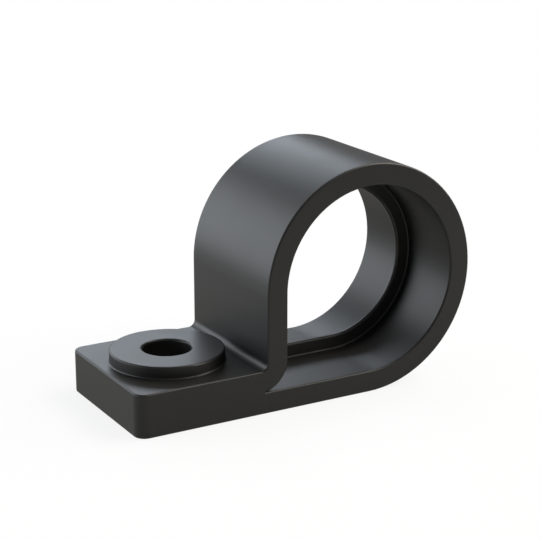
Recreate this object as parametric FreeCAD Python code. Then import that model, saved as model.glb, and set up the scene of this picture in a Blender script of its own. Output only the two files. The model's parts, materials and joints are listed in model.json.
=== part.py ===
"""Conduit clamp: a P-shaped loop moulded in one piece with its screw tab.

The strap starts as the flat base, runs round the conduit as a loop, comes down again as a straight
wall, and is laid back flat on the base, where the two layers are one solid tab. A round boss on the
tab takes the screw. A rib inside the loop drops into a valley of the corrugated conduit.

Frame: the origin is where the axis of the screw hole meets the mounting face. +X points from the
screw to the loop, +Y runs along the conduit and +Z points away from the mounting surface.
"""
import FreeCAD, Part
import math
import os
from FreeCAD import Vector

# Strap and loop, in millimetres
BORE_RADIUS = 13.0
STRAP_THICKNESS = 3.0
STRAP_WIDTH = 21.25
WALL_FILLET = 1.0
CREASE_RADIUS = 0.03

# Screw boss, and the flat that the tab has on either side of it
SCREW_HOLE_RADIUS = 3.3
BOSS_RADIUS = 7.75
BOSS_HEIGHT = 1.7
BOSS_TO_WALL_FILLET = 0.75
BOSS_TO_FREE_END = 1.6
TAB_CORNER_RADIUS = 1.6

# Rib that locks in the conduit
RIB_HEIGHT = 2.0
RIB_THICKNESS = 0.8
RIB_FOOT_FILLET = 0.2
RIB_CORNER_RADIUS = 0.5

# Broken edges
EDGE_ROUND = 0.25
BOSS_FOOT_FILLET = 0.2
HOLE_MOUTH_ROUND = 0.3

# Sizes that follow from those above
LOOP_RADIUS = BORE_RADIUS + STRAP_THICKNESS
TAB_THICKNESS = 2 * STRAP_THICKNESS
FREE_END_X = -(BOSS_RADIUS + BOSS_TO_FREE_END)
BEND_X = BOSS_RADIUS + BOSS_TO_WALL_FILLET
BEND_Z = TAB_THICKNESS + WALL_FILLET
BEND_RADIUS = WALL_FILLET + STRAP_THICKNESS
WALL_OUTSIDE_X = BEND_X + WALL_FILLET
WALL_INSIDE_X = BEND_X + BEND_RADIUS
LOOP_X = WALL_OUTSIDE_X + LOOP_RADIUS
LOOP_Z = LOOP_RADIUS
FRONT_Y = -STRAP_WIDTH / 2
BACK_Y = STRAP_WIDTH / 2
RIB_FRONT_Y = -RIB_THICKNESS / 2
RIB_CREST_ROUND = 0.375 * RIB_THICKNESS
RIB_CREST_RADIUS = BORE_RADIUS - RIB_HEIGHT
RIB_FLOOR_Z = STRAP_THICKNESS + RIB_HEIGHT
RIB_WALL_X = WALL_INSIDE_X + RIB_HEIGHT
RIB_BEND_RADIUS = BEND_RADIUS + RIB_HEIGHT

# How far a cutting solid stands out of the clamp, and how close two sizes are that count as the same
CUT_MARGIN = 1.0
SAME_WITHIN = 0.0001


def at(x, z):
    """Point on the middle plane of the strap, which is square to the conduit."""
    return Vector(x, 0, z)


def polar(centre_x, centre_z, radius, degrees):
    """Point on a circle in that plane."""
    angle = math.radians(degrees)
    return at(centre_x + radius * math.cos(angle), centre_z + radius * math.sin(angle))


def line(start, end):
    return Part.LineSegment(start, end).toShape()


def arc(centre_x, centre_z, radius, start_degrees, end_degrees):
    """Arc from one angle to the other, through the angle halfway between them."""
    middle_degrees = (start_degrees + end_degrees) / 2
    start, middle, end = (
        polar(centre_x, centre_z, radius, degrees)
        for degrees in (start_degrees, middle_degrees, end_degrees)
    )
    return Part.Arc(start, middle, end).toShape()


def prism(edges, start_y, end_y):
    """Solid with the outline that the edges close, from one depth along the conduit to another."""
    face = Part.Face(Part.Wire(edges))
    face.translate(Vector(0, start_y, 0))
    return face.extrude(Vector(0, end_y - start_y, 0))


def mirrored(shape):
    """The same shape on the other side of the middle plane of the strap."""
    return shape.mirror(Vector(0, 0, 0), Vector(0, 1, 0))


def near(value, target):
    return abs(value - target) < SAME_WITHIN


def edges_where(shape, test):
    """Edges whose middle point passes the test."""
    return [edge for edge in shape.Edges if test(edge.CenterOfMass)]


def on_an_end_face(point):
    return near(abs(point.y), STRAP_WIDTH / 2)


def outer_outline():
    """Side view of the clamp: base, loop, wall and tab top."""
    return [
        line(at(FREE_END_X, 0), at(LOOP_X, 0)),
        arc(LOOP_X, LOOP_Z, LOOP_RADIUS, -90, 45),
        arc(LOOP_X, LOOP_Z, LOOP_RADIUS, 45, 180),
        line(at(WALL_OUTSIDE_X, LOOP_Z), at(WALL_OUTSIDE_X, BEND_Z)),
        arc(BEND_X, BEND_Z, WALL_FILLET, 0, -90),
        line(at(BEND_X, TAB_THICKNESS), at(FREE_END_X, TAB_THICKNESS)),
        line(at(FREE_END_X, TAB_THICKNESS), at(FREE_END_X, 0)),
    ]


def outer_body():
    """The clamp without its openings, with the tab corners and all its edges rounded."""
    body = prism(outer_outline(), FRONT_Y, BACK_Y)

    def free_end_corner(point):
        return near(point.x, FREE_END_X) and on_an_end_face(point)

    body = body.makeFillet(TAB_CORNER_RADIUS, edges_where(body, free_end_corner))

    def outline_edge(point):
        on_tab_faces = near(point.z, 0) or near(point.z, TAB_THICKNESS)
        at_free_end = point.x < FREE_END_X + TAB_CORNER_RADIUS
        return on_an_end_face(point) or (on_tab_faces and at_free_end)

    return body.makeFillet(EDGE_ROUND, edges_where(body, outline_edge))


def crease_outline(start_x):
    """The narrow end of the bore, where the wall bends away and runs out flat on the base.

    Its edges run from start_x along the floor to the crease and back up to the wall.
    """
    reach = 2 * math.sqrt(BEND_RADIUS * CREASE_RADIUS)
    crease_x = BEND_X + reach
    crease_z = STRAP_THICKNESS + CREASE_RADIUS
    rise = BEND_RADIUS - CREASE_RADIUS
    contact_degrees = math.degrees(math.atan2(rise, -reach))
    bend_start_degrees = contact_degrees - 180
    return [
        line(at(start_x, STRAP_THICKNESS), at(crease_x, STRAP_THICKNESS)),
        arc(crease_x, crease_z, CREASE_RADIUS, 270, contact_degrees),
        arc(BEND_X, BEND_Z, BEND_RADIUS, bend_start_degrees, 0),
    ]


def loop_arcs(radius):
    """The round stretch of the loop, from the top of the wall over to below its centre."""
    return [
        arc(LOOP_X, LOOP_Z, radius, 180, 45),
        arc(LOOP_X, LOOP_Z, radius, 45, -90),
    ]


def bore_core():
    """Half of the bore, from outside the front face to the rib, with the rib's foot fillet."""
    outline = [
        line(at(LOOP_X, STRAP_THICKNESS), at(WALL_INSIDE_X, STRAP_THICKNESS)),
        line(at(WALL_INSIDE_X, STRAP_THICKNESS), at(WALL_INSIDE_X, LOOP_Z)),
    ] + loop_arcs(BORE_RADIUS)
    core = prism(outline, FRONT_Y - CUT_MARGIN, RIB_FRONT_Y)
    core = core.makeFillet(RIB_FOOT_FILLET, edges_where(core, lambda point: near(point.y, RIB_FRONT_Y)))
    join_x = WALL_INSIDE_X + RIB_FOOT_FILLET
    wedge_outline = crease_outline(join_x) + [
        line(at(WALL_INSIDE_X, BEND_Z), at(join_x, BEND_Z)),
        line(at(join_x, BEND_Z), at(join_x, STRAP_THICKNESS)),
    ]
    wedge = prism(wedge_outline, FRONT_Y - CUT_MARGIN, RIB_FRONT_Y)
    return core.fuse(wedge)


def rib_opening():
    """The opening inside the rib's crest, parallel to the bore, with its one corner rounded."""
    corner_z = RIB_FLOOR_Z + RIB_CORNER_RADIUS
    from_bend = RIB_BEND_RADIUS + RIB_CORNER_RADIUS
    corner_degrees = -math.degrees(math.asin((BEND_Z - corner_z) / from_bend))
    corner_x = polar(BEND_X, BEND_Z, from_bend, corner_degrees).x
    outline = [
        line(at(LOOP_X, RIB_FLOOR_Z), at(corner_x, RIB_FLOOR_Z)),
        arc(corner_x, corner_z, RIB_CORNER_RADIUS, 270, 180 + corner_degrees),
        arc(BEND_X, BEND_Z, RIB_BEND_RADIUS, corner_degrees, 0),
        line(at(RIB_WALL_X, BEND_Z), at(RIB_WALL_X, LOOP_Z)),
    ] + loop_arcs(RIB_CREST_RADIUS)
    return prism(outline, RIB_FRONT_Y - CUT_MARGIN, -RIB_FRONT_Y + CUT_MARGIN)


def add_boss(body):
    """Fuse the screw boss to the tab, round its rim and fillet its foot."""
    boss = Part.makeCylinder(BOSS_RADIUS, TAB_THICKNESS / 2 + BOSS_HEIGHT, Vector(0, 0, TAB_THICKNESS / 2))
    body = body.fuse(boss).removeSplitter()

    def round_edge_at(height):
        def test(point):
            return near(point.z, height) and near(point.x, 0) and near(point.y, 0)
        return test

    rim = edges_where(body, round_edge_at(TAB_THICKNESS + BOSS_HEIGHT))
    body = body.makeFillet(EDGE_ROUND, rim)
    foot = edges_where(body, round_edge_at(TAB_THICKNESS))
    return body.makeFillet(BOSS_FOOT_FILLET, foot)


def cut_screw_hole(body):
    """Drill the screw hole through boss and tab and round its mouth."""
    boss_top = TAB_THICKNESS + BOSS_HEIGHT
    drill = Part.makeCylinder(SCREW_HOLE_RADIUS, boss_top + 2 * CUT_MARGIN, Vector(0, 0, -CUT_MARGIN))
    body = body.cut(drill)

    def mouth_edge(edge):
        is_hole = hasattr(edge.Curve, "Radius") and near(edge.Curve.Radius, SCREW_HOLE_RADIUS)
        return is_hole and near(edge.CenterOfMass.z, boss_top)

    return body.makeFillet(HOLE_MOUTH_ROUND, [edge for edge in body.Edges if mouth_edge(edge)])


def cut_bore(body):
    """Open the loop from both sides, which leaves the rib, then round the mouths and the crest."""
    core = bore_core()
    body = body.cut(core).cut(mirrored(core)).cut(rib_opening()).removeSplitter()

    def in_the_bore(edge):
        box = edge.BoundBox
        inside_x = box.XMin > BEND_X + EDGE_ROUND and box.XMax < LOOP_X + BORE_RADIUS + EDGE_ROUND
        inside_z = box.ZMin > STRAP_THICKNESS - EDGE_ROUND and box.ZMax < LOOP_Z + BORE_RADIUS + EDGE_ROUND
        return inside_x and inside_z

    mouths = [edge for edge in body.Edges if on_an_end_face(edge.CenterOfMass) and in_the_bore(edge)]
    body = body.makeFillet(EDGE_ROUND, mouths)

    def beside_the_rib(point):
        return near(abs(point.y), RIB_THICKNESS / 2)

    crests = [edge for edge in edges_where(body, beside_the_rib) if on_the_rib_opening(edge)]
    return body.makeFillet(RIB_CREST_ROUND, crests)


def on_the_rib_opening(edge):
    """True for an edge along the crest of the rib, on the loop, the wall, the bend or the floor."""
    point = edge.valueAt((edge.FirstParameter + edge.LastParameter) / 2)
    from_loop_centre = math.hypot(point.x - LOOP_X, point.z - LOOP_Z)
    from_bend_centre = math.hypot(point.x - BEND_X, point.z - BEND_Z)
    return (
        near(from_loop_centre, RIB_CREST_RADIUS)
        or near(point.x, RIB_WALL_X)
        or near(from_bend_centre, RIB_BEND_RADIUS)
        or near(point.z, RIB_FLOOR_Z)
    )


def clamp_body():
    body = outer_body()
    body = add_boss(body)
    body = cut_screw_hole(body)
    return cut_bore(body)


os.makedirs("parts", exist_ok=True)
clamp = clamp_body()
print("valid", clamp.isValid(), "solids", len(clamp.Solids), "faces", len(clamp.Faces))
print("volume in cubic millimetres", round(clamp.Volume, 1))
clamp.exportStep("parts/clamp_body.step")
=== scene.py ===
# %% [markdown]
# # Conduit clamp: the looks
#
# The clamp is one moulding, so its whole shape comes from the frame and nothing is added to it.
# What is left for this file is the finish of the plastic and a studio in which that finish reads
# well: a dark, smooth plastic shows mostly what it reflects.

# %% Load the fixed frame
import json
import math

import bpy
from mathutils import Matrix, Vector


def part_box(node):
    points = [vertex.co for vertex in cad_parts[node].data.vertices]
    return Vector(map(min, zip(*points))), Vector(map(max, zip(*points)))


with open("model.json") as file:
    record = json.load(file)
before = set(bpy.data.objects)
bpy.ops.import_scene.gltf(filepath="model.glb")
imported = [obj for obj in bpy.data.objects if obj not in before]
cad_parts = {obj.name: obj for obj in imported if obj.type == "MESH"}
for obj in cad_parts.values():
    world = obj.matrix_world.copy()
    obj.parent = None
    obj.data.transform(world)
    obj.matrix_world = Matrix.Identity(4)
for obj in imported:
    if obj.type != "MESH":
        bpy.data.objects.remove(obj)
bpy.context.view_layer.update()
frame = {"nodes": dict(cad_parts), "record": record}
clamp = frame["nodes"]["clamp_body"]
mounts = {mount["name"]: mount for mount in frame["record"]["mounts"]}
print("clamp", len(clamp.data.polygons), "triangles, mounts", sorted(mounts))

# %% [markdown]
# ## Sizes that the finish and the studio need
#
# Lengths are in metres, as everywhere in the frame. The clamp's box and the middle of its loop come
# from the frame too, so that the floor and the lamps follow the part when its sizes change.

# %% Sizes from the frame
MM = 0.001
low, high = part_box("clamp_body")
loop_centre = Vector(mounts["conduit_valley_rib"]["pos_m"])
print("loop centre", tuple(round(value / MM, 2) for value in loop_centre), "mm")
print("clamp box", tuple(round(value / MM, 2) for value in high - low), "mm")

# %% [markdown]
# ## The camera
#
# The photograph looks down at the clamp from the left of its front face, with a long lens. The
# place, the direction and the focal length were fitted to the outlines in the photograph. The
# picture is square, so the sensor's width is also its height, and no shift is needed.

# %% Camera
CAMERA_TARGET = Vector((15.85, 0.0, 16.07)) * MM
CAMERA_AZIMUTH = math.radians(-150.16)
CAMERA_ELEVATION = math.radians(16.91)
CAMERA_DISTANCE = 218.8 * MM
SENSOR_WIDTH = 36.0
FOCAL_LENGTH = 106.73
CLIP_START = 10 * MM


def direction(azimuth, elevation):
    """Unit vector, with azimuth from +Y towards +X and elevation up from the horizon."""
    level = math.cos(elevation)
    return Vector((math.sin(azimuth) * level, math.cos(azimuth) * level, math.sin(elevation)))


def aim(thing, target):
    """Turn a camera or lamp so that it looks at the target."""
    thing.rotation_euler = (target - thing.location).to_track_quat("-Z", "Y").to_euler()


camera = bpy.data.objects.new("camera", bpy.data.cameras.new("camera"))
bpy.context.scene.collection.objects.link(camera)
camera.location = CAMERA_TARGET + direction(CAMERA_AZIMUTH, CAMERA_ELEVATION) * CAMERA_DISTANCE
aim(camera, CAMERA_TARGET)
camera.data.sensor_width = SENSOR_WIDTH
camera.data.lens = FOCAL_LENGTH
camera.data.clip_start = CLIP_START
bpy.context.scene.camera = camera
print("camera at", tuple(round(value / MM, 1) for value in camera.location), "mm")

# %% [markdown]
# ## Shader maths as Python
#
# A finish is a sum of masks and noises. Written as nodes by hand that takes pages, so a small class
# wraps a socket: an expression such as `1 - mask * 0.2` adds the Math nodes, and `node` adds any
# other node with its settings and inputs. Inputs go by name, or by number where two share a name.

# %% A socket that can be calculated with


class Wire:
    """One socket in a node tree, with operators that add Math nodes."""

    def __init__(self, tree, socket):
        self.tree = tree
        self.socket = socket

    def node(self, kind, settings=None, inputs=None, output=0):
        """Add a node, set its settings first and then its inputs, and wrap one of its outputs."""
        added = self.tree.nodes.new(kind)
        for name, value in (settings or {}).items():
            setattr(added, name, value)
        for name, value in (inputs or {}).items():
            if isinstance(value, Wire):
                self.tree.links.new(value.socket, added.inputs[name])
            else:
                added.inputs[name].default_value = value
        return Wire(self.tree, added.outputs[output])

    def math(self, operation, first, second):
        return self.node("ShaderNodeMath", {"operation": operation}, {0: first, 1: second})

    def __add__(self, other):
        return self.math("ADD", self, other)

    def __sub__(self, other):
        return self.math("SUBTRACT", self, other)

    def __mul__(self, other):
        return self.math("MULTIPLY", self, other)

    def __rsub__(self, other):
        return self.math("SUBTRACT", other, self)


# %% Start a material or a world


def empty_tree(owner):
    """Clear the node tree of a material or the world and return it."""
    owner.use_nodes = True
    owner.node_tree.nodes.clear()
    return owner.node_tree


def source(tree, kind, output):
    """Wrap one output of a new node that needs no inputs."""
    return Wire(tree, tree.nodes.new(kind).outputs[output])


def seen_by_camera(tree):
    """1 for a ray from the camera, straight or through something clear, and 0 for the others."""
    straight = source(tree, "ShaderNodeLightPath", "Is Camera Ray")
    return straight + source(tree, "ShaderNodeLightPath", "Is Transmission Ray")


def soft_step(value, start, end, before=0.0, after=1.0):
    """One level before the start, another one after the end, and a smooth way between them."""
    limits = {"From Min": start, "From Max": end, "To Min": before, "To Max": after}
    smooth = {"interpolation_type": "SMOOTHSTEP"}
    return value.node("ShaderNodeMapRange", smooth, {"Value": value, **limits})


def end_with(surface, kind):
    """Feed the finished shader into the tree's output node."""
    surface.tree.links.new(surface.socket, surface.tree.nodes.new(kind).inputs["Surface"])


# %% [markdown]
# ## The plastic
#
# The clamp is injection moulded in a nearly black plastic. Its skin is satin: seen square on it is
# a flat dark grey, and it brightens where it turns away and mirrors a lamp, in wide soft bands with
# no sharp image in them. A steel tool leaves three faint traces in such a skin, and all are kept
# weak: a very fine grain, soft clouds where the gloss and the shade differ a little, and slow waves
# where the thick plastic sank as it cooled.

# %% Moulded plastic
PLASTIC_COLOUR = (0.0085, 0.0085, 0.0082)
PLASTIC_IOR = 1.5
PLASTIC_ROUGHNESS = 0.42
ROUGHNESS_CLOUDS = 0.05
COLOUR_CLOUDS = 0.2
CLOUD_SIZE = 5 * MM
GRAIN_SIZE = 0.12 * MM
GRAIN_HEIGHT = 0.0012 * MM
WAVE_SIZE = 9 * MM
WAVE_HEIGHT = 0.003 * MM


def noise(place, size, detail=2.0):
    """Noise from 0 to 1 whose blotches are about the given size."""
    inputs = {"Vector": place, "Scale": 1 / size, "Detail": detail}
    return place.node("ShaderNodeTexNoise", None, inputs)


def make_plastic(name):
    plastic = bpy.data.materials.new(name)
    tree = empty_tree(plastic)
    place = source(tree, "ShaderNodeTexCoord", "Object")
    clouds = noise(place, CLOUD_SIZE, detail=3.0) - 0.5
    rough = clouds * ROUGHNESS_CLOUDS + PLASTIC_ROUGHNESS
    shade = clouds * COLOUR_CLOUDS + 1.0
    colour = place.node(
        "ShaderNodeVectorMath", {"operation": "SCALE"}, {"Vector": PLASTIC_COLOUR, "Scale": shade}
    )
    grain = noise(place, GRAIN_SIZE) * GRAIN_HEIGHT
    waves = noise(place, WAVE_SIZE, detail=0.0) * WAVE_HEIGHT
    relief = grain + waves
    bump = place.node("ShaderNodeBump", None, {"Height": relief, "Distance": 1.0, "Strength": 1.0})
    surface = place.node(
        "ShaderNodeBsdfPrincipled",
        None,
        {"Base Color": colour, "Roughness": rough, "IOR": PLASTIC_IOR, "Normal": bump},
    )
    end_with(surface, "ShaderNodeOutputMaterial")
    return plastic


clamp.data.materials.clear()
clamp.data.materials.append(make_plastic("moulded_plastic"))
print("material", clamp.data.materials[0].name, "on", clamp.name)

# %% [markdown]
# ## The floor
#
# The clamp lies on a round pale table that runs out into the white backdrop. A camera sees such a
# table as almost white, so for camera rays most of the floor's colour is plain white light of
# strength 1, and the rest is matt paint, which keeps the clamp's soft shadow. Towards the rim the
# paint fades out. Its white leans to blue a little, because the lamps are warm on the whole.
# Mirrored in the plastic the table is an evenly glowing pale grey, and a painted pool of light
# makes it brighter in front of the clamp.

# %% Floor
FLOOR_RADIUS = 120 * MM
FLOOR_CORNERS = 96
FLOOR_PAINT = (0.88, 0.9, 0.93, 1.0)
FLOOR_MIRRORED = (0.45, 0.44, 0.41)
# Painted pool of light: how much brighter the mirrored grey is painted at the front of the floor.
FRONT_PAINTED_LIGHT = 1.6
FRONT_PAINTED_LIGHT_START = 0.0
FRONT_PAINTED_LIGHT_END = -50 * MM
FLOOR_WHITENING = 0.86
FADE_START = 45 * MM
FADE_END = 110 * MM
WHITE = (1.0, 1.0, 1.0, 1.0)
MIX_COLOUR_A, MIX_COLOUR_B, MIX_COLOUR_OUT = 6, 7, 2  # the Mix node's sockets when it mixes colours


def make_floor_paint():
    paint = bpy.data.materials.new("pale_floor")
    tree = empty_tree(paint)
    mirrored = source(tree, "ShaderNodeLightPath", "Is Glossy Ray")
    place = source(tree, "ShaderNodeTexCoord", "Object")
    from_middle = place.node(
        "ShaderNodeVectorMath", {"operation": "LENGTH"}, {0: place}, output="Value"
    )
    whitening = soft_step(from_middle, FADE_START, FADE_END, before=FLOOR_WHITENING)
    along_y = place.node("ShaderNodeSeparateXYZ", None, {"Vector": place}, output="Y")
    # Painted pool of light: the grey that the plastic mirrors brightens towards the front of the
    # floor.
    painted_front_light = soft_step(along_y, FRONT_PAINTED_LIGHT_START, FRONT_PAINTED_LIGHT_END, before=1.0, after=FRONT_PAINTED_LIGHT)
    grey = painted_front_light.node(
        "ShaderNodeVectorMath", {"operation": "SCALE"}, {"Vector": FLOOR_MIRRORED, "Scale": painted_front_light}
    )
    colour = mirrored.node(
        "ShaderNodeMix",
        {"data_type": "RGBA"},
        {"Factor": mirrored, MIX_COLOUR_A: WHITE, MIX_COLOUR_B: grey},
        output=MIX_COLOUR_OUT,
    )
    light = colour.node("ShaderNodeEmission", None, {"Color": colour, "Strength": 1.0})
    matt = colour.node("ShaderNodeBsdfDiffuse", None, {"Color": FLOOR_PAINT})
    share = seen_by_camera(tree) * whitening + mirrored
    surface = share.node("ShaderNodeMixShader", None, {0: share, 1: matt, 2: light})
    end_with(surface, "ShaderNodeOutputMaterial")
    return paint


bpy.ops.mesh.primitive_circle_add(
    vertices=FLOOR_CORNERS,
    radius=FLOOR_RADIUS,
    fill_type="NGON",
    location=(loop_centre.x / 2, 0, low.z),
)
floor = bpy.context.object
floor.name = "floor"
floor.data.materials.append(make_floor_paint())
print("floor", round(FLOOR_RADIUS / MM), "mm in radius at height", round(low.z / MM, 3), "mm")

# %% [markdown]
# ## The backdrop
#
# Behind everything the camera sees plain white. The light that the backdrop itself gives is dim,
# because the soft boxes do the work, and gets brighter towards the wall on the right. A glow is a
# round patch of direction with a soft edge.

# %% Backdrop
BACKDROP_LEVEL = 0.2
RIGHT_LEVEL = 0.6
RIGHT_WALL = {"azimuth": 100, "elevation": 15, "inner": 20, "outer": 60}

world = bpy.data.worlds.new("studio")
bpy.context.scene.world = world
tree = empty_tree(world)
toward = source(tree, "ShaderNodeTexCoord", "Generated")


def glow(azimuth, elevation, inner, outer):
    """1 inside the inner angle from a direction and 0 outside the outer one, in degrees."""
    middle = direction(math.radians(azimuth), math.radians(elevation))
    nearness = toward.node(
        "ShaderNodeVectorMath", {"operation": "DOT_PRODUCT"}, {0: toward, 1: middle}, output="Value"
    )
    return soft_step(nearness, math.cos(math.radians(outer)), math.cos(math.radians(inner)))


lit = glow(**RIGHT_WALL) * RIGHT_LEVEL + BACKDROP_LEVEL
level = seen_by_camera(tree) * (1 - lit) + lit
backdrop = toward.node("ShaderNodeBackground", None, {"Color": WHITE, "Strength": level})
end_with(backdrop, "ShaderNodeOutputWorld")
print("backdrop light from", BACKDROP_LEVEL, "to", BACKDROP_LEVEL + RIGHT_LEVEL, "of white")

# %% [markdown]
# ## Soft boxes
#
# Four soft boxes do the drawing. The big one on the left lays the long bright band on the side of
# the loop, a small one almost straight behind lights the tops, and the warm ones on the right and
# overhead fill the inside of the loop and bring out the rounded front edges as thin lines.

# %% Soft boxes
BOX_DISTANCE = 600 * MM
COOL = (0.94, 1.0, 1.05)
BLUE = (0.9, 1.0, 1.11)
WARM = (1.09, 1.0, 0.91)
SOFT_BOXES = (
    # name, azimuth, elevation, width, height, brightness, colour
    ("box_left", -46, 12, 88, 38, 2.38, COOL),
    ("box_back", 17, 22, 24, 12, 5.35, BLUE),
    ("box_side", 108, 42, 54, 44, 4.0, WARM),
    ("box_top", 60, 62, 50, 40, 0.8, WARM),
)


def soft_box(name, azimuth, elevation, width, height, brightness, colour):
    """A rectangular lamp aimed at the clamp. All angles are in degrees, as seen from the clamp.

    The power grows with the area, so a box of another size looks just as bright.
    """
    lamp = bpy.data.lights.new(name, "AREA")
    lamp.shape = "RECTANGLE"
    lamp.size = 2 * BOX_DISTANCE * math.tan(math.radians(width) / 2)
    lamp.size_y = 2 * BOX_DISTANCE * math.tan(math.radians(height) / 2)
    lamp.energy = brightness * math.pi * lamp.size * lamp.size_y
    lamp.color = colour
    holder = bpy.data.objects.new(name, lamp)
    bpy.context.scene.collection.objects.link(holder)
    middle = (low + high) / 2
    toward_box = direction(math.radians(azimuth), math.radians(elevation))
    holder.location = middle + toward_box * BOX_DISTANCE
    aim(holder, middle)
    print(name, round(lamp.size, 3), "by", round(lamp.size_y, 3), "m,", round(lamp.energy, 2), "W")


for soft_box_row in SOFT_BOXES:
    soft_box(*soft_box_row)

# %% [markdown]
# ## Finish
#
# The view transform is the plain one, so colours stay as written.

# %% Finish
bpy.context.scene.view_settings.view_transform = "Standard"
